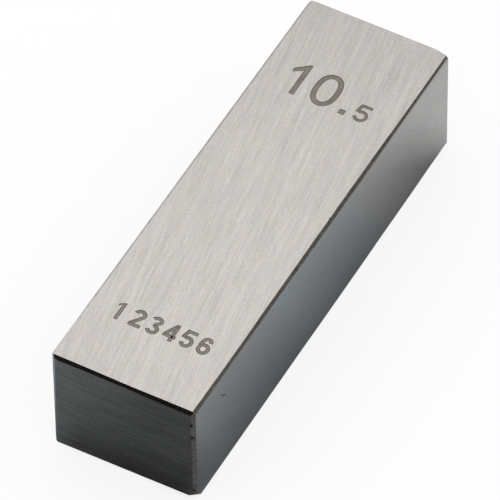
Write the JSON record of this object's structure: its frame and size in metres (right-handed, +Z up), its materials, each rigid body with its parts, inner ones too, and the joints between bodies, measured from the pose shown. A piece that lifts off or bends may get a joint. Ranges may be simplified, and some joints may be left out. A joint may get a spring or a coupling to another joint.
{
  "type": "gauge block",
  "caption": "Rectangular steel gauge block with two lapped measuring faces, chamfered edges and its size marked on one side face.",
  "frame": {"origin": "centre of the plain side face that the block lies on", "axes": "+X square to the measuring faces, along the gauge length; +Y along the long side of the section, towards the back end face; +Z up, out of the marked side face"},
  "size_m": [0.0104, 0.0348, 0.0089],
  "materials": {
    "gauge_steel": "hardened steel, ground side and end faces and lapped measuring faces"
  },
  "bodies": {
    "root": {"gauge_block": "gauge_steel"}
  },
  "joints": []
}
